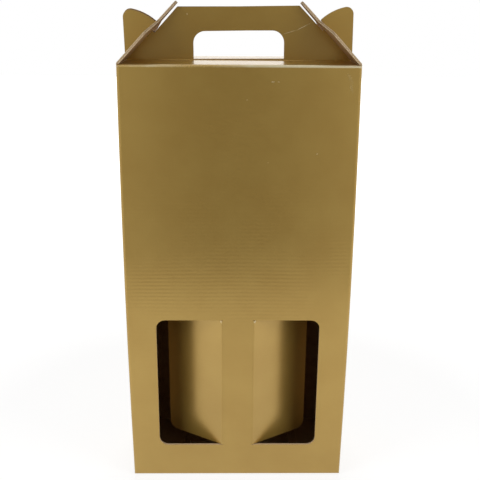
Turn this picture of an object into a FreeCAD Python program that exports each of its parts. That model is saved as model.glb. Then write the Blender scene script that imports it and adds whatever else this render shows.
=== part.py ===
import FreeCAD, Part
import math
import os

from FreeCAD import Vector

# Two-bottle carry carton, folded from one sheet of fine corrugated board.
# Millimetres, +Z up. The origin is under the middle of the carton, on the surface it stands on.
# The front, with the two windows, faces -Y. Metal-coloured paper lies outside, plain kraft inside.

# The sheet, its folds and the gaps between its neighbouring parts
board = 1.8
inner_bend = 0.4
sheet_gap = 0.3
layer_gap = 0.1
cut_gap = 0.4

# The body, from the floor to the shoulder crease of the front
width = 181.4
depth = 90.0
height = 353.6
side_bow = 1.25

# The two front windows, with the post between them
post_width = 26.0
window_width = 54.4
window_height = 118.3
window_sill = 30.5
window_corner = 7.5

# The divider flaps, which are the windows' own cut-outs, folded inwards
divider_fold = 31.5
kerf = 0.4
knuckle_gap = 0.1

# The handle: two panels back to back, with an ear at each end
handle_height = 40.6
handle_corner = 1.5
hole_width = 71.5
hole_top = 22.5
hole_corner = 9.5
back_hole_sill = 0.6
ear_curve = 39.9
ear_inset = 1.2
ear_corner = 5.5
front_panel_turn = 1.0
back_panel_turn = -0.4

# The lock flaps: hinged on the side walls, slotted over the handle and hooked under its ears
lock_angle = 46.4
lock_rise = 0.7
lock_shoulder = 31.0
lock_length = 60.5
lock_corner = 4.0
tongue_start = 41.0
tongue_width = 22.0
tongue_tip_width = 14.0
tongue_corner = 5.0
tongue_root = 3.0
hook_root = 32.5
slot_end_gap = 1.6
slot_side_gap = 0.45
ear_gap = 0.9
slit_play = 1.9

# The bottom: two side flaps, and a front and a back flap that hook over each other
side_flap_reach = 42.0
side_flap_chamfer = 28.0
bottom_gap = 1.0
hook_lead = 6.0
hook_width = 38.0
hook_reach = 14.0
hook_taper = 6.0

# The glued seam, inside the back wall
seam_width = 16.0
seam_end_gap = 8.0

# Places worked out from the sizes above
outer_bend = inner_bend + board
middle_bend = inner_bend + board / 2
half_width = width / 2
half_depth = depth / 2
half_post = post_width / 2
upper_layer = board + layer_gap
sleeve_bottom = upper_layer + outer_bend
sleeve_top = height - outer_bend
fold_line = half_depth - outer_bend
side_reach = fold_line - cut_gap
panel_end = half_width - board - sheet_gap
panel_middle = sheet_gap / 2 + board / 2
handle_foot = height - board / 2 + middle_bend
slot_half = sheet_gap / 2 + board + slot_side_gap
hinge_line = -half_depth + board
slope = math.radians(lock_angle)
lock_turn = math.pi / 2 - slope
lock_crease = Vector(half_width, 0, height + lock_rise)
up_slope = Vector(-math.cos(slope), 0, math.sin(slope))
off_slope = Vector(math.sin(slope), 0, math.cos(slope))
past = 2 * board
nearly_nothing = 1e-6
same_place = 1e-4
nearly_whole = 0.9


def block(low_x, high_x, low_y, high_y, low_z, high_z):
    """A box between three pairs of planes."""
    corner = Vector(low_x, low_y, low_z)
    return Part.makeBox(high_x - low_x, high_y - low_y, high_z - low_z, corner)


def flat_plate(points, thickness):
    """A plate with straight edges: its outline lies level, and it is as thick as given, upwards."""
    outline = Part.makePolygon(points + [points[0]])
    return Part.Face(outline).extrude(Vector(0, 0, thickness))


def both_sides(shape):
    """The shape with its twin on the other side of the carton's middle."""
    return [shape, shape.mirror(Vector(0, 0, 0), Vector(1, 0, 0))]


def joined(shapes):
    """One shape out of several that touch or overlap."""
    return shapes[0].multiFuse(shapes[1:]).removeSplitter()


def edges_at(shape, places):
    """The shape's straight edges whose middle lies at one of the places, in the directions given."""
    found = []
    for edge in shape.Edges:
        middle = edge.BoundBox.Center
        for place in places:
            gaps = [abs(middle[axis] - value) for axis, value in place.items()]
            if max(gaps) < same_place:
                found.append(edge)
    return found


def upright_edges(shape):
    """The edges that run the whole height of the shape."""
    whole = shape.BoundBox.ZLength * nearly_whole
    return [edge for edge in shape.Edges if edge.BoundBox.ZLength > whole]


def sheet_side(path, normal, shift):
    """One side of the bent sheet: the path moved sideways, with rounded corners."""
    edges = []
    start = path[0] + normal.cross((path[1] - path[0]).normalize()) * shift
    for before, corner, after in zip(path, path[1:], path[2:]):
        run_in = (corner - before).normalize()
        run_out = (after - corner).normalize()
        turn = run_in.getAngle(run_out)
        way = math.copysign(1, run_in.cross(run_out).dot(normal))
        reach = middle_bend * math.tan(turn / 2)
        inward = (run_out - run_in).normalize()
        centre = corner + inward * (middle_bend / math.cos(turn / 2))
        enter = corner - run_in * reach + normal.cross(run_in) * shift
        crown = centre - inward * (middle_bend - way * shift)
        leave = corner + run_out * reach + normal.cross(run_out) * shift
        if start.distanceToPoint(enter) > nearly_nothing:
            edges.append(Part.makeLine(start, enter))
        edges.append(Part.Arc(enter, crown, leave).toShape())
        start = leave
    end = path[-1] + normal.cross((path[-1] - path[-2]).normalize()) * shift
    if start.distanceToPoint(end) > nearly_nothing:
        edges.append(Part.makeLine(start, end))
    return edges


def bent_sheet(path, normal, length):
    """The sheet bent along the path of its middle line, half the length to each side of it."""
    left = sheet_side(path, normal, board / 2)
    right = sheet_side(path, normal, -board / 2)
    first_in = normal.cross((path[1] - path[0]).normalize()) * (board / 2)
    last_in = normal.cross((path[-1] - path[-2]).normalize()) * (board / 2)
    start_edge = Part.makeLine(path[0] + first_in, path[0] - first_in)
    end_edge = Part.makeLine(path[-1] + last_in, path[-1] - last_in)
    outline = Part.Wire(Part.__sortEdges__(left + right + [start_edge, end_edge]))
    section = Part.Face(outline)
    section.translate(normal * (-length / 2))
    return section.extrude(normal * length)


def bowed_side(x, z):
    """A point at height z of the side wall that stands at x: it bows out between the folds."""
    rise = (sleeve_top - sleeve_bottom) / 2
    radius = (rise ** 2 + side_bow ** 2) / (2 * side_bow)
    from_middle = z - (sleeve_top + sleeve_bottom) / 2
    bow = math.sqrt(radius ** 2 - from_middle ** 2) - (radius - side_bow)
    return Vector(x + bow * math.copysign(1, x), 0, z)


def bowed_block(inset, corner_radius):
    """The body as a block, from the floor past the shoulder, with bowed sides and round corners."""
    x = half_width - inset
    levels = (0, height / 2, height + past)
    right = [bowed_side(x, z) for z in levels]
    left = [bowed_side(-x, z) for z in levels]
    edges = [
        Part.makeLine(left[0], right[0]),
        Part.Arc(right[0], right[1], right[2]).toShape(),
        Part.makeLine(right[2], left[2]),
        Part.Arc(left[2], left[1], left[0]).toShape(),
    ]
    face = Part.Face(Part.Wire(edges))
    face.translate(Vector(0, -half_depth + inset, 0))
    body = face.extrude(Vector(0, depth - 2 * inset, 0))
    return body.makeFillet(corner_radius, upright_edges(body))


def straight_envelope():
    """The lock flaps' root in plan, with its round corners: it trims the ends of their folds."""
    top = height + lock_length
    plan = block(-half_width, half_width, -half_depth, half_depth, 0, top)
    return plan.makeFillet(outer_bend, upright_edges(plan))


def sleeve():
    """The four walls between the folds at the bottom and at the top."""
    walls = bowed_block(0, outer_bend).cut(bowed_block(board, inner_bend))
    between = block(-width, width, -depth, depth, sleeve_bottom, sleeve_top)
    return walls.common(between)


def glued_seam():
    """The glue flap: it turns in from the left wall and lies on the inside of the back wall."""
    outer_face = half_depth - board
    flap = block(-half_width - side_bow, -half_width + board + seam_width,
                 outer_face - board, outer_face, seam_end_gap, height - seam_end_gap)
    return flap.common(bowed_block(0, outer_bend))


def roof_panel():
    """The front's top fold, the panel that covers the front half, and the fold up to the handle."""
    wall = -half_depth + board / 2
    level = height - board / 2
    path = [Vector(0, wall, sleeve_top), Vector(0, wall, level),
            Vector(0, -panel_middle, level), Vector(0, -panel_middle, handle_foot)]
    sheet = bent_sheet(path, Vector(1, 0, 0), 2 * width).common(bowed_block(0, outer_bend))
    end = block(panel_end, width, -fold_line, 0, sleeve_top - past, handle_foot + past)
    return sheet.cut(Part.makeCompound(both_sides(end)))


def handle_outline():
    """Half of the handle panel's edge, from its foot past the ear and the slit to its top."""
    ear_x = half_width - ear_inset
    foot = Vector(ear_x, 0, handle_foot - past)
    ear_centre = Vector(half_width, 0, height)
    shoulder_rise = math.sqrt(ear_curve ** 2 - ear_inset ** 2)
    ear_top = Vector(ear_x, 0, height + shoulder_rise)
    ear_line = lock_crease + off_slope * ear_gap
    centre_line = lock_crease - off_slope * (board + slit_play)
    offset = ear_line - ear_centre
    along = offset.dot(up_slope)
    hook_tip = ear_line + up_slope * (math.sqrt(along ** 2 - offset.dot(offset) + ear_curve ** 2) - along)
    crown = ear_centre + (ear_top + hook_tip - ear_centre * 2).normalize() * ear_curve
    slit_outer = ear_line + up_slope * hook_root
    slit_inner = centre_line + up_slope * hook_root
    rise = height + handle_height - centre_line.z
    handle_end = centre_line + up_slope * (rise / up_slope.z)
    return [
        Part.makeLine(foot, ear_top),
        Part.Arc(ear_top, crown, hook_tip).toShape(),
        Part.makeLine(hook_tip, slit_outer),
        Part.makeLine(slit_outer, slit_inner),
        Part.makeLine(slit_inner, handle_end),
    ]


def hand_hole(sill):
    """The cutter for the hand hole: square at the sill, with round upper corners."""
    half = hole_width / 2
    top = height + hole_top
    cutter = block(-half, half, -past, past, sill, top)
    corners = edges_at(cutter, [{0: half, 2: top}, {0: -half, 2: top}])
    return cutter.makeFillet(hole_corner, corners)


def handle_panel(turn, sill):
    """One of the two handle panels, from y = 0 to the front, turned a little in its own plane."""
    half = handle_outline()
    twin = [edge.mirror(Vector(0, 0, 0), Vector(1, 0, 0)) for edge in half]
    foot = half[0].Vertexes[0].Point
    end = half[-1].Vertexes[-1].Point
    top = Part.makeLine(end, Vector(-end.x, 0, end.z))
    bottom = Part.makeLine(Vector(-foot.x, 0, foot.z), foot)
    outline = Part.Wire(Part.__sortEdges__(half + twin + [top, bottom]))
    panel = Part.Face(outline).extrude(Vector(0, -board, 0))
    ear_top = half[0].Vertexes[-1].Point
    ear_edges = edges_at(panel, [{0: ear_top.x, 2: ear_top.z}, {0: -ear_top.x, 2: ear_top.z}])
    panel = panel.makeFillet(ear_corner, ear_edges)
    end_edges = edges_at(panel, [{0: end.x, 2: end.z}, {0: -end.x, 2: end.z}])
    panel = panel.makeFillet(handle_corner, end_edges)
    panel.translate(Vector(0, -sheet_gap / 2, 0))
    panel = panel.cut(hand_hole(sill))
    panel.rotate(Vector(0, 0, handle_foot), Vector(0, -1, 0), turn)
    below = block(-width, width, -past, past, handle_foot - 2 * past, handle_foot)
    return panel.cut(below)


def top_half(turn, sill):
    """The front's roof panel with its handle panel."""
    return [roof_panel(), handle_panel(turn, sill)]


def turned_about(shapes):
    """The same shapes at the back of the carton."""
    for shape in shapes:
        shape.rotate(Vector(0, 0, 0), Vector(0, 0, 1), 180)
    return shapes


def lock_fold():
    """The top of the right side wall and the fold from it to its lock flap."""
    middle = half_width - board / 2
    corner = Vector(middle, 0, lock_crease.z - board / 2 * math.tan(lock_turn / 2))
    path = [Vector(middle, 0, sleeve_top), corner,
            corner + up_slope * (middle_bend * math.tan(lock_turn / 2))]
    lock_depth = depth - 2 * cut_gap
    sheet = bent_sheet(path, Vector(0, 1, 0), lock_depth).common(straight_envelope())
    notches = [
        block(0, width, side_reach, depth, 0, height + cut_gap),
        block(0, width, -depth, -side_reach, 0, height + cut_gap),
        block(0, width, -slot_half, slot_half, height - cut_gap, lock_crease.z + width),
    ]
    return sheet.cut(Part.makeCompound(notches))


def lock_flap():
    """The right lock flap: it narrows to a tongue, and its slot takes the two handle panels."""
    root = outer_bend * math.tan(lock_turn / 2)
    half = half_depth - cut_gap
    right = [Vector(root, half, 0), Vector(lock_shoulder, half, 0),
             Vector(tongue_start, tongue_width / 2, 0), Vector(lock_length, tongue_tip_width / 2, 0)]
    left = [Vector(point.x, -point.y, 0) for point in reversed(right)]
    flap = flat_plate(right + left, board)
    for point, radius in zip(right[1:], [lock_corner, tongue_root, tongue_corner]):
        corners = edges_at(flap, [{0: point.x, 1: point.y}, {0: point.x, 1: -point.y}])
        flap = flap.makeFillet(radius, corners)
    slot_end = hook_root + slot_end_gap
    flap = flap.cut(block(-past, slot_end, -slot_half, slot_half, -past, past))
    flap.rotate(Vector(0, 0, 0), Vector(0, 1, 0), lock_angle - 180)
    flap.translate(lock_crease)
    return flap


def front_bottom_flap():
    """The front's bottom fold and flap, with its hook that lies on top of the back flap."""
    wall = -half_depth + board / 2
    path = [Vector(0, wall, sleeve_bottom), Vector(0, wall, board / 2),
            Vector(0, -bottom_gap / 2, board / 2)]
    sheet = bent_sheet(path, Vector(1, 0, 0), 2 * width).common(bowed_block(0, outer_bend))
    end = block(panel_end, width, -fold_line, 0, -past, sleeve_bottom + past)
    sheet = sheet.cut(Part.makeCompound(both_sides(end)))
    step_start = -bottom_gap / 2 - board
    outer = hook_lead + hook_width
    hook = flat_plate([Vector(hook_lead, step_start, upper_layer),
                       Vector(outer, step_start, upper_layer),
                       Vector(outer - hook_taper, hook_reach, upper_layer),
                       Vector(hook_lead, hook_reach, upper_layer)], board)
    step = block(hook_lead, outer - hook_taper, step_start, -bottom_gap / 2, 0, upper_layer + board)
    return [sheet, step, hook]


def side_bottom_flap():
    """The right wall's bottom fold and flap, inside the front and back flaps."""
    middle = half_width - board / 2
    level = upper_layer + board / 2
    root = half_width - outer_bend
    end = half_width - side_flap_reach
    half = side_reach - side_flap_chamfer
    path = [Vector(middle, 0, sleeve_bottom), Vector(middle, 0, level), Vector(root, 0, level)]
    fold = bent_sheet(path, Vector(0, 1, 0), 2 * side_reach)
    plate = flat_plate([Vector(root, -side_reach, upper_layer), Vector(end, -half, upper_layer),
                        Vector(end, half, upper_layer), Vector(root, side_reach, upper_layer)], board)
    return [fold, plate]


def window_cutter():
    """The right window, with the round seat in the post that the flap's folded edge turns in."""
    outer = half_post + window_width
    top = window_sill + window_height
    cutter = block(half_post, outer, -half_depth - past, hinge_line + past, window_sill, top)
    corners = edges_at(cutter, [{0: outer, 2: window_sill}, {0: outer, 2: top}])
    cutter = cutter.makeFillet(window_corner, corners)
    axis = Vector(half_post, hinge_line, window_sill)
    seat = Part.makeCylinder(board + knuckle_gap, window_height, axis)
    return cutter.fuse(seat)


def divider_flap():
    """The right divider flap: the window's cut-out, turned in about its crease beside the post."""
    end = half_post + window_width - kerf
    bottom = window_sill + kerf
    top = window_sill + window_height - kerf
    plate = block(half_post, end, -half_depth, hinge_line, bottom, top)
    corners = edges_at(plate, [{0: end, 2: bottom}, {0: end, 2: top}])
    plate = plate.makeFillet(window_corner - kerf, corners)
    axis = Vector(half_post, hinge_line, bottom)
    crease = Part.makeCylinder(board, top - bottom, axis, Vector(0, 0, 1), 90)
    crease.rotate(axis, Vector(0, 0, 1), 180)
    flap = joined([plate, crease])
    flap.rotate(axis, Vector(0, 0, 1), divider_fold)
    return flap


def carton():
    """The folded sheet as one piece, without its two divider flaps."""
    pieces = [sleeve(), glued_seam()]
    pieces += top_half(front_panel_turn, handle_foot)
    pieces += turned_about(top_half(back_panel_turn, handle_foot + back_hole_sill))
    pieces += both_sides(lock_fold())
    pieces += both_sides(lock_flap())
    pieces += front_bottom_flap()
    pieces += turned_about(front_bottom_flap())
    for piece in side_bottom_flap():
        pieces += both_sides(piece)
    whole = joined(pieces)
    return whole.cut(Part.makeCompound(both_sides(window_cutter()))).removeSplitter()


def save(name, shape):
    """One sub-part to its own file, with a line that tells its solids, size and volume."""
    if len(shape.Solids) != 1 or not shape.isValid():
        print(name, "is not one sound solid:", len(shape.Solids), shape.isValid())
    solid = shape.Solids[0]
    size = solid.BoundBox
    print(name, round(size.XLength, 2), round(size.YLength, 2), round(size.ZLength, 2),
          "volume", round(solid.Volume))
    solid.exportStep("parts/" + name + ".step")


os.makedirs("parts", exist_ok=True)
right_flap, left_flap = both_sides(divider_flap())
save("carton", carton())
save("left_divider_flap", left_flap)
save("right_divider_flap", right_flap)
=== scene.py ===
import math

import bmesh
import bpy
from mathutils import Matrix, Vector


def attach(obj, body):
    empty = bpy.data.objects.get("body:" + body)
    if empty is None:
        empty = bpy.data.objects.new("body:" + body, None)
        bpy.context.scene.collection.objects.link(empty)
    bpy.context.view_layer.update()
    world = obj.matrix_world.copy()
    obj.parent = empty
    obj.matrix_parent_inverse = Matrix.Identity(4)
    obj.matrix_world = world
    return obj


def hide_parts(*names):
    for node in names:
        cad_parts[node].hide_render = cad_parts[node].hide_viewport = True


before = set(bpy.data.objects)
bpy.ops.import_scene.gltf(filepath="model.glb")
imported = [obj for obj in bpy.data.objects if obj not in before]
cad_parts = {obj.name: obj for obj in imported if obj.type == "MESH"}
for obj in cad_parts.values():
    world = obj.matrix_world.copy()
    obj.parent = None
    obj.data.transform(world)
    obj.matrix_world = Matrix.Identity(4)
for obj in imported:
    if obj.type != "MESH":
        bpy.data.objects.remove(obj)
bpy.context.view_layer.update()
scene = bpy.context.scene

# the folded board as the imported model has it, in metres and degrees
sheet = {
    "board": 0.0018,
    "innerBend": 0.0004,
    "outerBend": 0.0022,
    "halfWidth": 0.0907,
    "halfDepth": 0.045,
    "height": 0.3536,  # from the floor to the shoulder crease
    "handleFace": 0.00195,  # from the middle to the handle's outer side
    "lockRise": 0.0007,
    "lockAngle": 46.4,
    "lockSlot": 0.034,
    "flapHinge": 0.013,
    "flapTurn": 31.5,
    "flutePitch": 0.0032,
}
board, innerBend, outerBend = (sheet[key] for key in ("board", "innerBend", "outerBend"))
halfWidth, halfDepth, shoulder = (sheet[key] for key in ("halfWidth", "halfDepth", "height"))
handleFace = sheet["handleFace"]


# short ways to write node trees

def setSocket(tree, socket, value):
    if isinstance(value, bpy.types.NodeSocket):
        tree.links.new(value, socket)
    else:
        socket.default_value = value


def addNode(tree, kind, inputs=None, **settings):
    node = tree.nodes.new(kind)
    for name, value in settings.items():
        setattr(node, name, value)
    for key, value in (inputs or {}).items():
        setSocket(tree, node.inputs[key], value)
    return node


def calc(tree, operation, first, second=0.5, clamp=False):
    node = addNode(tree, "ShaderNodeMath", {0: first, 1: second}, operation=operation)
    node.use_clamp = clamp
    return node.outputs[0]


def vectorCalc(tree, operation, first, second):
    return addNode(tree, "ShaderNodeVectorMath", {0: first, 1: second}, operation=operation).outputs[0]


def vectorLength(tree, vector):
    return addNode(tree, "ShaderNodeVectorMath", {0: vector}, operation="LENGTH").outputs[1]


def splitVector(tree, vector):
    return addNode(tree, "ShaderNodeSeparateXYZ", {0: vector}).outputs


def noise(tree, vector, scale, detail):
    inputs = {"Vector": vector, "Scale": scale, "Detail": detail}
    return addNode(tree, "ShaderNodeTexNoise", inputs).outputs[0]


def remap(tree, value, fromMin, fromMax, toMin=0.0, toMax=1.0, smooth=False):
    kind = "SMOOTHSTEP" if smooth else "LINEAR"
    inputs = {0: value, 1: fromMin, 2: fromMax, 3: toMin, 4: toMax}
    return addNode(tree, "ShaderNodeMapRange", inputs, interpolation_type=kind).outputs[0]


def mixColour(tree, factor, first, second):
    return addNode(tree, "ShaderNodeMix", {0: factor, 6: first, 7: second}, data_type="RGBA").outputs[2]


def addBump(tree, height, strength, distance):
    inputs = {"Strength": strength, "Distance": distance, "Height": height}
    return addNode(tree, "ShaderNodeBump", inputs).outputs[0]


def newGroup(name, inputs, outputs):
    group = bpy.data.node_groups.new(name, "ShaderNodeTree")
    for label, kind, value in inputs:
        socket = group.interface.new_socket(label, in_out="INPUT", socket_type=kind)
        if value is not None:
            socket.default_value = value
    for label, kind in outputs:
        group.interface.new_socket(label, in_out="OUTPUT", socket_type=kind)
    return group, group.nodes.new("NodeGroupInput").outputs, group.nodes.new("NodeGroupOutput").inputs


def useGroup(tree, group, inputs):
    return addNode(tree, "ShaderNodeGroup", inputs, node_tree=group).outputs


def newMaterial(name, roughness, metallic=0.0):
    material = bpy.data.materials.new(name)
    material.use_nodes = True
    tree = material.node_tree
    surface = tree.nodes["Principled BSDF"]
    surface.inputs["Roughness"].default_value = roughness
    surface.inputs["Metallic"].default_value = metallic
    return material, tree, surface


# the flutes press through the liner as fine ribs; the sheet is a little wavy and the paper has a grain
relief = {
    "driftScale": 14.0,
    "drift": 0.9,  # how far the ribs wander, in flutes
    "fadeScale": 22.0,
    "fadeLeast": 0.1,
    "waveScale": 26.0,
    "grainScale": 1900.0,
}


def makeWashboard():
    group, given, made = newGroup("washboard", [
        ("Sheet", "NodeSocketVector", None), ("Place", "NodeSocketVector", None),
        ("Pitch", "NodeSocketFloat", 0.0032), ("Ribs", "NodeSocketFloat", 0.5),
        ("Waviness", "NodeSocketFloat", 0.5), ("Grain", "NodeSocketFloat", 0.2)],
        [("Height", "NodeSocketFloat"), ("Rib", "NodeSocketFloat")])
    across = splitVector(group, given["Sheet"])[1]
    drift = noise(group, given["Place"], relief["driftScale"], 1.0)
    phase = calc(group, "DIVIDE", across, given["Pitch"])
    phase = calc(group, "ADD", phase, calc(group, "MULTIPLY", drift, relief["drift"]))
    rib = calc(group, "SINE", calc(group, "MULTIPLY", phase, 2 * math.pi))
    patches = noise(group, given["Place"], relief["fadeScale"], 2.0)
    fade = remap(group, patches, 0.35, 0.65, relief["fadeLeast"], 1.0)
    waves = noise(group, given["Place"], relief["waveScale"], 2.0)
    grain = noise(group, given["Place"], relief["grainScale"], 3.0)
    height = calc(group, "MULTIPLY", calc(group, "MULTIPLY", rib, fade), given["Ribs"])
    height = calc(group, "ADD", height, calc(group, "MULTIPLY", waves, given["Waviness"]))
    height = calc(group, "ADD", height, calc(group, "MULTIPLY", grain, given["Grain"]))
    group.links.new(height, made["Height"])
    group.links.new(rib, made["Rib"])
    return group


# a pale spot, for a rubbed scuff and for the painted highlight of a hairline crease: a soft ellipse on the
# sheet, broken up by noise
spotEdge = {"raggedScale": 1100.0, "ragged": 0.45, "solidTo": 0.45}


def makeRubAndHighlightSpot():
    group, given, made = newGroup("rubAndHighlightSpot", [
        ("Place", "NodeSocketVector", None), ("Centre", "NodeSocketVector", None),
        ("Half Size", "NodeSocketVector", None), ("Turn", "NodeSocketFloat", 0.0),
        ("Strength", "NodeSocketFloat", 1.0)],
        [("Mask", "NodeSocketFloat")])
    offset = vectorCalc(group, "SUBTRACT", given["Place"], given["Centre"])
    offset = addNode(group, "ShaderNodeVectorRotate", {"Vector": offset, "Angle": given["Turn"]},
                     rotation_type="Y_AXIS").outputs[0]
    radius = vectorLength(group, vectorCalc(group, "DIVIDE", offset, given["Half Size"]))
    ragged = noise(group, given["Place"], spotEdge["raggedScale"], 2.0)
    ragged = remap(group, ragged, 0.3, 0.7, -spotEdge["ragged"], spotEdge["ragged"])
    radius = calc(group, "ADD", radius, ragged)
    spot = remap(group, radius, 1.0, spotEdge["solidTo"], 0.0, 1.0, smooth=True)
    group.links.new(calc(group, "MULTIPLY", spot, given["Strength"]), made["Mask"])
    return group


# painted highlight: a pale reflection along a crease that runs from side to side at a given y and z
creaseHighlightSettings = {"patchScale": 35.0, "moreToTheRight": 2.2, "least": 0.1}


def makePaintedCreaseHighlight():
    group, given, made = newGroup("paintedCreaseHighlight", [
        ("Place", "NodeSocketVector", None), ("Line", "NodeSocketVector", None),
        ("Width", "NodeSocketFloat", 0.001)],
        [("Mask", "NodeSocketFloat")])
    fromLine = vectorCalc(group, "SUBTRACT", given["Place"], given["Line"])
    fromLine = vectorLength(group, vectorCalc(group, "MULTIPLY", fromLine, (0.0, 1.0, 1.0)))
    fromLine = calc(group, "DIVIDE", fromLine, given["Width"])
    paintedHighlight = remap(group, fromLine, 1.0, 0.5, 0.0, 1.0, smooth=True)
    patches = noise(group, given["Place"], creaseHighlightSettings["patchScale"], 5.0)
    alongX = splitVector(group, given["Place"])[0]
    patches = calc(group, "ADD", patches, calc(group, "MULTIPLY", alongX, creaseHighlightSettings["moreToTheRight"]))
    paintedHighlight = calc(group, "MULTIPLY", paintedHighlight, remap(group, patches, 0.3, 0.6, creaseHighlightSettings["least"], 1.0))
    group.links.new(paintedHighlight, made["Mask"])
    return group


# the board's cut side: two liners with the fluted paper between them, and the hollows between the flutes
# painted dark as their shade
fluteShape = {"swing": 0.3, "inside": 0.1, "outside": 0.17, "linerFrom": 0.29, "linerTo": 0.35}


def makeFluteEnds():
    group, given, made = newGroup("fluteEnds", [
        ("Cut", "NodeSocketVector", None), ("Pitch", "NodeSocketFloat", 0.0032)],
        [("Paper", "NodeSocketFloat"), ("Liner", "NodeSocketFloat")])
    cut = splitVector(group, given["Cut"])
    turns = calc(group, "DIVIDE", cut[0], given["Pitch"])
    swing = calc(group, "SINE", calc(group, "MULTIPLY", turns, 2 * math.pi))
    middle = calc(group, "ADD", calc(group, "MULTIPLY", swing, fluteShape["swing"]), 0.5)
    fromMiddle = calc(group, "ABSOLUTE", calc(group, "SUBTRACT", cut[1], middle))
    fluting = remap(group, fromMiddle, fluteShape["outside"], fluteShape["inside"], 0.0, 1.0, smooth=True)
    fromCentre = calc(group, "ABSOLUTE", calc(group, "SUBTRACT", cut[1], 0.5))
    liner = remap(group, fromCentre, fluteShape["linerFrom"], fluteShape["linerTo"], 0.0, 1.0, smooth=True)
    group.links.new(calc(group, "MAXIMUM", fluting, liner), made["Paper"])
    group.links.new(liner, made["Liner"])
    return group


washboard = makeWashboard()
rubAndHighlightSpot = makeRubAndHighlightSpot()
paintedCreaseHighlight = makePaintedCreaseHighlight()
fluteEnds = makeFluteEnds()
print("paper effects made:", [group.name for group in bpy.data.node_groups])


# gold metallic paper under a thin varnish, outside
gold = {
    "light": (0.632, 0.404, 0.09, 1.0),
    "deep": (0.592, 0.368, 0.077, 1.0),
    # pale colour of the rubs and of the painted crease highlights
    "paleRubAndHighlight": (0.85, 0.75, 0.48, 1.0),
    "metallic": 0.5,
    "roughness": 0.24,
    "unevenness": 0.03,
    "rubbedRoughness": 0.2,  # on top of the rest
    "ior": 1.55,
    "varnish": 0.7,
    "varnishRoughness": 0.3,
    "cloudScale": 30.0,
    "fineScale": 700.0,
    "ribs": 0.5,
    "waviness": 1.4,
    "grain": 0.03,
    "bump": 0.25,
    "bumpDepth": 0.0001,
    # width and inset of the painted highlight along the shoulder crease
    "highlightWidth": 0.0019,
    "highlightInset": 0.0004,  # from the two planes that meet at the shoulder
}


def onFront(x, z):
    return (x, -halfDepth, z)


def onHandle(x, z):
    return (x, -handleFace, z)


# small rubs and scuffs, and the painted highlight of a hairline crease: centre in metres, half size, turn in
# degrees, strength
rubsAndHighlights = [
    (onFront(0.0249, 0.3414), (0.0014, 0.004, 0.0003), 0, 0.9),
    (onFront(0.0291, 0.3414), (0.0008, 0.004, 0.0003), 0, 0.7),
    (onFront(0.0058, 0.3281), (0.0006, 0.004, 0.0005), 0, 0.3),
    (onFront(0.0596, 0.2875), (0.0012, 0.004, 0.0006), 20, 0.3),
    (onFront(0.0223, 0.2804), (0.0005, 0.004, 0.0006), 0, 0.15),
    (onFront(0.0822, 0.3440), (0.0045, 0.004, 0.0016), -60, 0.1),
    (onFront(0.0834, 0.3375), (0.0040, 0.004, 0.0014), -75, 0.1),
    (onFront(-0.0139, 0.1474), (0.0010, 0.004, 0.0012), 0, 0.8),
    (onFront(0.0138, 0.1474), (0.0010, 0.004, 0.0012), 0, 0.8),
    (onHandle(-0.0403, 0.3883), (0.0006, 0.0006, 0.0008), 0, 0.6),
    # painted highlight of a hairline crease, in two strokes beside the hand hole
    (onHandle(0.0406, 0.3755), (0.0058, 0.0006, 0.00034), 17, 0.6),
    (onHandle(0.0499, 0.3791), (0.0062, 0.0006, 0.0004), 26, 0.75),
]


def goldPaper():
    material, tree, surface = newMaterial("goldPaper", gold["roughness"], gold["metallic"])
    place = addNode(tree, "ShaderNodeTexCoord").outputs
    wash = useGroup(tree, washboard, {
        "Sheet": place["UV"], "Place": place["Object"], "Pitch": sheet["flutePitch"],
        "Ribs": gold["ribs"], "Waviness": gold["waviness"], "Grain": gold["grain"]})
    clouds = noise(tree, place["Object"], gold["cloudScale"], 4.0)
    colour = mixColour(tree, remap(tree, clouds, 0.35, 0.65), gold["light"], gold["deep"])
    # painted highlight along the shoulder crease
    shoulderFold = (0.0, gold["highlightInset"] - halfDepth, shoulder - gold["highlightInset"])
    wearAndHighlight = useGroup(tree, paintedCreaseHighlight, {
        "Place": place["Object"], "Width": gold["highlightWidth"], "Line": shoulderFold})["Mask"]
    for centre, half, turn, strength in rubsAndHighlights:
        mask = useGroup(tree, rubAndHighlightSpot, {
            "Place": place["Object"], "Centre": centre, "Half Size": half,
            "Turn": math.radians(turn), "Strength": strength})["Mask"]
        wearAndHighlight = calc(tree, "MAXIMUM", wearAndHighlight, mask)
    # pale rubs, together with the painted highlights of the shoulder crease and the hairline crease
    colour = mixColour(tree, wearAndHighlight, colour, gold["paleRubAndHighlight"])
    fine = noise(tree, place["Object"], gold["fineScale"], 3.0)
    rough = remap(tree, fine, 0.3, 0.7,
                  gold["roughness"] - gold["unevenness"], gold["roughness"] + gold["unevenness"])
    rough = calc(tree, "ADD", rough, calc(tree, "MULTIPLY", wearAndHighlight, gold["rubbedRoughness"]))
    bump = addBump(tree, wash["Height"], gold["bump"], gold["bumpDepth"])
    tree.links.new(colour, surface.inputs["Base Color"])
    tree.links.new(rough, surface.inputs["Roughness"])
    tree.links.new(bump, surface.inputs["Normal"])
    surface.inputs["IOR"].default_value = gold["ior"]
    surface.inputs["Coat Weight"].default_value = gold["varnish"]
    surface.inputs["Coat Roughness"].default_value = gold["varnishRoughness"]
    return material


# plain kraft, inside
kraft = {
    "light": (0.46, 0.295, 0.145, 1.0),
    "dark": (0.35, 0.215, 0.098, 1.0),
    "fibre": (0.55, 0.385, 0.215, 1.0),
    "roughness": 0.85,
    "blotchScale": 90.0,
    "fibreScale": (260.0, 1500.0, 1.0),
    "fibres": 0.5,
    "ribShade": 0.12,
    "ribs": 0.5,
    "waviness": 0.8,
    "grain": 0.35,
    "bump": 0.35,
    "bumpDepth": 0.0001,
}


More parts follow.
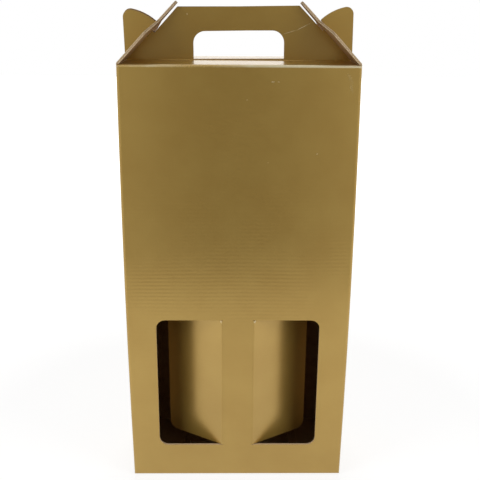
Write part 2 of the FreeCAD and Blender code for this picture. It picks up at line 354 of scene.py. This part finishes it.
def kraftPaper():
    material, tree, surface = newMaterial("kraftPaper", kraft["roughness"])
    place = addNode(tree, "ShaderNodeTexCoord").outputs
    wash = useGroup(tree, washboard, {
        "Sheet": place["UV"], "Place": place["Object"], "Pitch": sheet["flutePitch"],
        "Ribs": kraft["ribs"], "Waviness": kraft["waviness"], "Grain": kraft["grain"]})
    blotch = noise(tree, place["Object"], kraft["blotchScale"], 6.0)
    stretched = addNode(tree, "ShaderNodeMapping", {
        "Vector": place["UV"], "Scale": kraft["fibreScale"]}).outputs[0]
    fibres = noise(tree, stretched, 1.0, 4.0)
    colour = mixColour(tree, remap(tree, blotch, 0.3, 0.7), kraft["dark"], kraft["light"])
    colour = mixColour(tree, remap(tree, fibres, 0.52, 0.75, 0.0, kraft["fibres"]), colour, kraft["fibre"])
    # painted shade that follows the flute ribs, on top of their bump
    shade = remap(tree, wash["Rib"], -1.0, 1.0, 0.0, kraft["ribShade"])
    colour = mixColour(tree, shade, colour, kraft["dark"])
    bump = addBump(tree, wash["Height"], kraft["bump"], kraft["bumpDepth"])
    tree.links.new(colour, surface.inputs["Base Color"])
    tree.links.new(bump, surface.inputs["Normal"])
    return material


# the raw cut sides of the board
cutBoard = {
    "paper": (0.86, 0.66, 0.42, 1.0),
    "liner": (0.88, 0.7, 0.47, 1.0),
    "hollowShade": (0.56, 0.38, 0.21, 1.0),
    "roughness": 0.9,
    "alongPitch": 4.0,  # so long that no flute end shows
    "fuzzScale": 1300.0,
    "linerTint": 0.6,
    "fuzzHeight": 0.4,
    "bump": 0.5,
    "bumpDepth": 0.0002,
}


def cutSide(name, pitch):
    material, tree, surface = newMaterial(name, cutBoard["roughness"])
    place = addNode(tree, "ShaderNodeTexCoord").outputs
    ends = useGroup(tree, fluteEnds, {"Cut": place["UV"], "Pitch": pitch})
    fuzz = noise(tree, place["Object"], cutBoard["fuzzScale"], 3.0)
    paper = calc(tree, "ADD", ends["Paper"], remap(tree, fuzz, 0.3, 0.7, -0.15, 0.35), clamp=True)
    # painted shade in the flute hollows
    colour = mixColour(tree, paper, cutBoard["hollowShade"], cutBoard["paper"])
    tint = calc(tree, "MULTIPLY", ends["Liner"], cutBoard["linerTint"])
    colour = mixColour(tree, tint, colour, cutBoard["liner"])
    height = calc(tree, "ADD", paper, calc(tree, "MULTIPLY", fuzz, cutBoard["fuzzHeight"]))
    bump = addBump(tree, height, cutBoard["bump"], cutBoard["bumpDepth"])
    tree.links.new(colour, surface.inputs["Base Color"])
    tree.links.new(bump, surface.inputs["Normal"])
    return material


boardMaterials = [
    goldPaper(),
    kraftPaper(),
    cutSide("cutAcrossFlutes", sheet["flutePitch"]),
    cutSide("cutAlongFlutes", cutBoard["alongPitch"]),
]
outside, inside, cutAcross, cutAlong = range(len(boardMaterials))
print("materials made:", [material.name for material in boardMaterials])


# which paper each face of the model shows, and where the face lies on the flat sheet
near = 0.00012  # a face this close to a plane lies on it
slack = 0.0001
bendSlack = 0.0003
rimWidth = 0.0024
square = 0.9  # a normal's share along an axis that faces it squarely
mostly = 0.7
leaning = 0.35  # a cut side that faces left or right by more than this shows flute ends
lockRow = 0.36  # where the lock flaps and the handle start on the sheet's map
handleRow = 0.4
lockSlope = math.radians(sheet["lockAngle"])


def facingOut(centre, normal):
    return normal.x * math.copysign(1, centre.x), normal.y * math.copysign(1, centre.y)


def lockPlace(point):
    # along the lock flap from its crease, and out from its outer face
    x, z = abs(point.x) - halfWidth, point.z - shoulder - sheet["lockRise"]
    along = -x * math.cos(lockSlope) + z * math.sin(lockSlope)
    out = x * math.sin(lockSlope) + z * math.cos(lockSlope)
    return along, out


def bendSide(y, z, axisY, axisZ):
    # a face on a fold lies on its wide or its tight curve
    distance = math.hypot(y - axisY, z - axisZ)
    if abs(distance - outerBend) < bendSlack:
        return "wide"
    if abs(distance - innerBend) < bendSlack:
        return "tight"
    return None


def readLockFlap(centre, normal):
    along, out = lockPlace(centre)
    if not (along > 0.0008 and -board - near < out < near and abs(centre.y) < halfDepth):
        return None
    outX = facingOut(centre, normal)[0]
    outSlope = outX * math.sin(lockSlope) + normal.z * math.cos(lockSlope)
    onLock = lambda p: (p.y, lockRow + lockPlace(p)[0])
    lockCut = lambda p: (lockRow + lockPlace(p)[0], -lockPlace(p)[1] / board)
    if abs(out) < near and outSlope > square:
        return outside, onLock
    if abs(out + board) < near and outSlope < -square:
        return inside, onLock
    if abs(centre.y) < handleFace + near and centre.z > shoulder and along < sheet["lockSlot"]:
        return None  # in the slot, so it is the handle's
    return (cutAcross if abs(normal.y) > 0.4 else cutAlong), lockCut


def readHandle(centre, normal):
    y, z = abs(centre.y), centre.z
    if not (z > shoulder + innerBend - near and y < handleFace + near):
        return None
    onPanel = lambda p: (p.x, handleRow + p.z - shoulder)
    if abs(y - handleFace) < near and facingOut(centre, normal)[1] > square:
        return outside, onPanel
    if abs(normal.y) > square:
        return inside, onPanel
    panelCut = lambda p: (p.z, (handleFace - abs(p.y)) / board)
    return (cutAcross if abs(normal.x) > leaning else cutAlong), panelCut


def readRoof(centre, normal):
    # the roof panels with their folds to the walls and to the handle
    y, z = abs(centre.y), centre.z
    if not (z > shoulder - outerBend - slack and abs(centre.x) < halfWidth - board):
        return None
    onRoof = lambda p: (p.x, halfDepth - abs(p.y) + p.z)
    if abs(normal.x) > mostly:
        return cutAcross, lambda p: (p.y, (shoulder - p.z) / board)
    shoulderBend = bendSide(y, z, halfDepth - outerBend, shoulder - outerBend)
    if y > halfDepth - outerBend and shoulderBend:
        return (outside if shoulderBend == "wide" else inside), onRoof
    if y < 0.0034 and z < shoulder + 0.0008:
        footBend = bendSide(y, z, handleFace + innerBend, shoulder + innerBend)
        if footBend:
            return (outside if footBend == "tight" else inside), onRoof
    return (outside if normal.z > 0 else inside), onRoof


def readLockFold(centre, normal):
    # the fold from each side wall to its lock flap
    if centre.z < shoulder - outerBend - slack:
        return None
    foldCut = lambda p: (p.z, (halfWidth - abs(p.x)) / board)
    if abs(normal.y) > mostly:
        return cutAcross, foldCut
    if abs(normal.z) > square and abs(normal.x) < 0.3:
        return cutAlong, foldCut
    return (outside if facingOut(centre, normal)[0] > 0 else inside), lambda p: (p.y, p.z)


def readBottom(centre, normal):
    # the bottom panels, and the side flaps above them
    if centre.z > board + outerBend + slack:
        return None
    onBottom = lambda p: (p.x, abs(p.y) - halfDepth + p.z)
    outX, outY = facingOut(centre, normal)
    rim = abs(centre.x) > halfWidth - rimWidth or abs(centre.y) > halfDepth - rimWidth
    if normal.z < -0.5:
        return outside, onBottom
    if normal.z > 0.5:
        return inside, onBottom
    if rim and max(outX, outY) > 0.6:
        return outside, onBottom
    if rim and min(outX, outY) < -0.6 and centre.z > 0.003:
        return inside, onBottom
    return (cutAcross if abs(normal.x) > mostly else cutAlong), lambda p: (p.x + p.y, p.z / board)


def readWall(centre, normal):
    # the four walls, the glued seam and the window edges
    x, y = abs(centre.x), abs(centre.y)
    outX, outY = facingOut(centre, normal)
    broadWall = y > halfDepth - board - near
    if broadWall and abs(normal.y) > square:
        return (outside if outY > 0 else inside), lambda p: (p.x, p.z)
    if broadWall and x < halfWidth - outerBend - near:
        windowCut = lambda p: (p.z if abs(normal.x) > 0.5 else p.x, (halfDepth - abs(p.y)) / board)
        return (cutAcross if abs(normal.x) > leaning else cutAlong), windowCut
    if (x > halfWidth - board - 0.0008 and outX > 0.2) or outY > 0.5:
        return outside, lambda p: (p.x + p.y, p.z)
    return inside, lambda p: (p.y, p.z)


def readCarton(centre, normal):
    # the first reader that knows the face gives its paper and the place of its corners
    for read in (readLockFlap, readHandle, readRoof, readLockFold, readBottom):
        found = read(centre, normal)
        if found:
            return found
    return readWall(centre, normal)


def readFlap(centre, normal):
    # a divider flap: turned back flat, it is read as a part of the front wall
    side = math.copysign(1, centre.x)
    hinge = Vector((side * sheet["flapHinge"], board - halfDepth, 0))
    turn = Matrix.Rotation(-side * math.radians(sheet["flapTurn"]), 3, "Z")
    flat = lambda p: hinge + turn @ (p - hinge)
    flatNormal = turn @ normal
    onFlap = lambda p: (flat(p).x, p.z)
    nearHinge = abs(flat(centre).x) < sheet["flapHinge"] + slack and abs(flatNormal.z) < 0.5
    if flatNormal.y < -square or (nearHinge and flatNormal.y < 0.3):
        return outside, onFlap
    if flatNormal.y > square or nearHinge:
        return inside, onFlap
    flapCut = lambda p: (p.z if abs(flatNormal.x) > 0.5 else flat(p).x, (flat(p).y + halfDepth) / board)
    return (cutAcross if abs(flatNormal.x) > leaning else cutAlong), flapCut


# panels stay flat up to their rims, and the folds between them run smoothly from one to the next
shading = {"flatLimit": 0.0005, "foldLimit": math.radians(35)}


def findPanels(bm):
    # every face's own mark: whether it belongs to a flat panel of more than two triangles
    inPanel = {}
    for start in bm.faces:
        if start.index in inPanel:
            continue
        group, todo = {start.index}, [start]
        while todo:
            for edge in todo.pop().edges:
                for other in edge.link_faces:
                    level = other.normal.angle(start.normal, 9) < shading["flatLimit"]
                    if level and other.index not in group:
                        group.add(other.index)
                        todo.append(other)
        for index in group:
            inPanel[index] = len(group) > 2
    return inPanel


def cornerNormals(bm):
    # a fold's end takes the normal of the panel it runs into
    inPanel = findPanels(bm)
    normals = []
    for face in bm.faces:
        turnFrom = lambda other: other.normal.angle(face.normal, 9)
        for loop in face.loops:
            beside = [f for f in loop.vert.link_faces if turnFrom(f) < shading["foldLimit"]]
            flat = [f for f in beside if inPanel[f.index]]
            if inPanel[face.index]:
                normals.append(face.normal.copy())
            elif flat:
                normals.append(min(flat, key=turnFrom).normal.copy())
            else:
                normals.append(sum((f.normal for f in beside), Vector()).normalized())
    return normals


def dressNode(nodeName, pieceName, body, read):
    # a copy of the node's own triangles, merged, with the right paper on each face
    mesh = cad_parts[nodeName].data.copy()
    mesh.name = pieceName
    mesh.materials.clear()
    for material in boardMaterials:
        mesh.materials.append(material)
    bm = bmesh.new()
    bm.from_mesh(mesh)
    bmesh.ops.remove_doubles(bm, verts=bm.verts[:], dist=0.000001)
    for layer in bm.loops.layers.uv.values():
        bm.loops.layers.uv.remove(layer)
    sheetMap = bm.loops.layers.uv.new("sheetMap")
    for face in bm.faces:
        face.smooth = True
        face.material_index, place = read(face.calc_center_median(), face.normal)
        for loop in face.loops:
            loop[sheetMap].uv = place(loop.vert.co)
    normals = cornerNormals(bm)
    bm.to_mesh(mesh)
    bm.free()
    mesh.normals_split_custom_set(normals)
    piece = bpy.data.objects.new(pieceName, mesh)
    scene.collection.objects.link(piece)
    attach(piece, body)
    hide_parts(nodeName)
    counts = [sum(p.material_index == i for p in mesh.polygons) for i in range(len(boardMaterials))]
    print(pieceName, "faces outside, inside, cut across, cut along:", counts)


dressNode("carton", "folded_carton", "carton", readCarton)
dressNode("left_divider_flap", "left_divider", "left_divider", readFlap)
dressNode("right_divider_flap", "right_divider", "right_divider", readFlap)


# a pale table that the gold paper mirrors
table = {
    "front": -0.51,
    "size": 4.0,
    "colour": (0.32, 0.32, 0.32, 1.0),
    "roughness": 0.9,
    "glow": 0.8,  # near the carton, which keeps its shadow there
    "farGlow": 0.6,  # on top of that, further out
    "glowFade": (0.25, 1.2),
    "mirrored": 0.66,
}


def makeTable():
    bm = bmesh.new()
    bmesh.ops.create_grid(bm, x_segments=1, y_segments=1, size=1.0)
    bmesh.ops.scale(bm, vec=(table["size"], table["size"] / 2, 1), verts=bm.verts[:])
    bmesh.ops.translate(bm, vec=(0, table["front"] + table["size"] / 2, 0), verts=bm.verts[:])
    mesh = bpy.data.meshes.new("table")
    bm.to_mesh(mesh)
    bm.free()
    top = bpy.data.objects.new("table", mesh)
    scene.collection.objects.link(top)
    material, tree, surface = newMaterial("paleTable", table["roughness"])
    surface.inputs["Base Color"].default_value = table["colour"]
    rays = addNode(tree, "ShaderNodeLightPath").outputs
    distance = vectorLength(tree, addNode(tree, "ShaderNodeTexCoord").outputs["Object"])
    level = remap(tree, distance, *table["glowFade"], table["glow"], table["glow"] + table["farGlow"])
    glow = calc(tree, "ADD", calc(tree, "MULTIPLY", rays["Is Camera Ray"], level),
                calc(tree, "MULTIPLY", rays["Is Glossy Ray"], table["mirrored"]))
    surface.inputs["Emission Color"].default_value = (1, 1, 1, 1)
    tree.links.new(glow, surface.inputs["Emission Strength"])
    mesh.materials.append(material)


# soft light from above and behind; the gold mirrors a dark camera side with pale walls beside it
room = {
    "low": 0.02,
    "high": 0.15,
    "softFade": (0.0, 0.8),
    "mirrorAhead": 0.04,
    "mirrorSide": 0.46,
    "sideFade": (0.02, 0.2),
    "mirrorTop": 0.7,
    "topFade": (0.2, 0.7),
    "mirrorBack": 1.2,
    "backFade": (0.0, 0.5),
}


def grey(level):
    return (level, level, level, 1.0)


def makeRoom():
    world = bpy.data.worlds.new("paleRoom")
    scene.world = world
    world.use_nodes = True
    tree = world.node_tree
    x, y, z = splitVector(tree, addNode(tree, "ShaderNodeTexCoord").outputs["Generated"])
    upOrBack = remap(tree, calc(tree, "MAXIMUM", z, y), *room["softFade"], smooth=True)
    soft = mixColour(tree, upOrBack, grey(room["low"]), grey(room["high"]))
    toSide = remap(tree, calc(tree, "ABSOLUTE", x), *room["sideFade"], smooth=True)
    mirror = mixColour(tree, toSide, grey(room["mirrorAhead"]), grey(room["mirrorSide"]))
    mirror = mixColour(tree, remap(tree, z, *room["topFade"], smooth=True), mirror, grey(room["mirrorTop"]))
    mirror = mixColour(tree, remap(tree, y, *room["backFade"], smooth=True), mirror, grey(room["mirrorBack"]))
    rays = addNode(tree, "ShaderNodeLightPath").outputs
    level = mixColour(tree, rays["Is Glossy Ray"], soft, mirror)
    level = mixColour(tree, rays["Is Camera Ray"], level, grey(1.0))
    tree.links.new(level, tree.nodes["Background"].inputs["Color"])
    world.cycles.sampling_method = "NONE"


# a tall soft lamp close to each side, and one far behind: name, place, width, height, power
lamps = [
    ("leftLamp", (-0.34, -0.24, 0.26), 0.25, 0.8, 1.15),
    ("rightLamp", (0.34, -0.24, 0.26), 0.25, 0.8, 1.15),
    ("backLamp", (0.0, 1.5, 0.9), 1.0, 1.0, 12.0),
]
lampAim = Vector((0, 0, 0.2))


def makeLamps():
    for name, place, width, height, power in lamps:
        light = bpy.data.lights.new(name, "AREA")
        light.shape = "RECTANGLE"
        light.size = width
        light.size_y = height
        light.energy = power
        lamp = bpy.data.objects.new(name, light)
        lamp.location = place
        lamp.rotation_euler = (lampAim - Vector(place)).to_track_quat("-Z", "Y").to_euler()
        lamp.visible_glossy = False
        scene.collection.objects.link(lamp)


makeTable()
makeRoom()
makeLamps()
print("studio made, lamps:", [name for name, *rest in lamps])


# the camera, where the photograph was taken from: metres, degrees, millimetres of lens
view = {
    "place": (-0.0058, -0.5917, 0.398),
    "down": 18.19,
    "right": 0.74,
    "roll": 0.36,
    "lens": 54.52,
    "sensor": 36.0,
    "nearest": 0.01,
}


def makeCamera():
    down, side, roll = (math.radians(view[key]) for key in ("down", "right", "roll"))
    ahead = Vector((math.sin(side) * math.cos(down), math.cos(side) * math.cos(down), -math.sin(down)))
    right = Vector((math.cos(side), -math.sin(side), 0))
    up = right.cross(ahead)
    rolledRight = right * math.cos(roll) + up * math.sin(roll)
    rolledUp = up * math.cos(roll) - right * math.sin(roll)
    data = bpy.data.cameras.new("camera")
    data.lens = view["lens"]
    data.sensor_width = view["sensor"]
    data.clip_start = view["nearest"]
    camera = bpy.data.objects.new("camera", data)
    turn = Matrix((rolledRight, rolledUp, -ahead)).transposed()
    camera.matrix_world = Matrix.Translation(view["place"]) @ turn.to_4x4()
    scene.collection.objects.link(camera)
    scene.camera = camera


makeCamera()
scene.view_settings.view_transform = "Standard"
print("camera set")
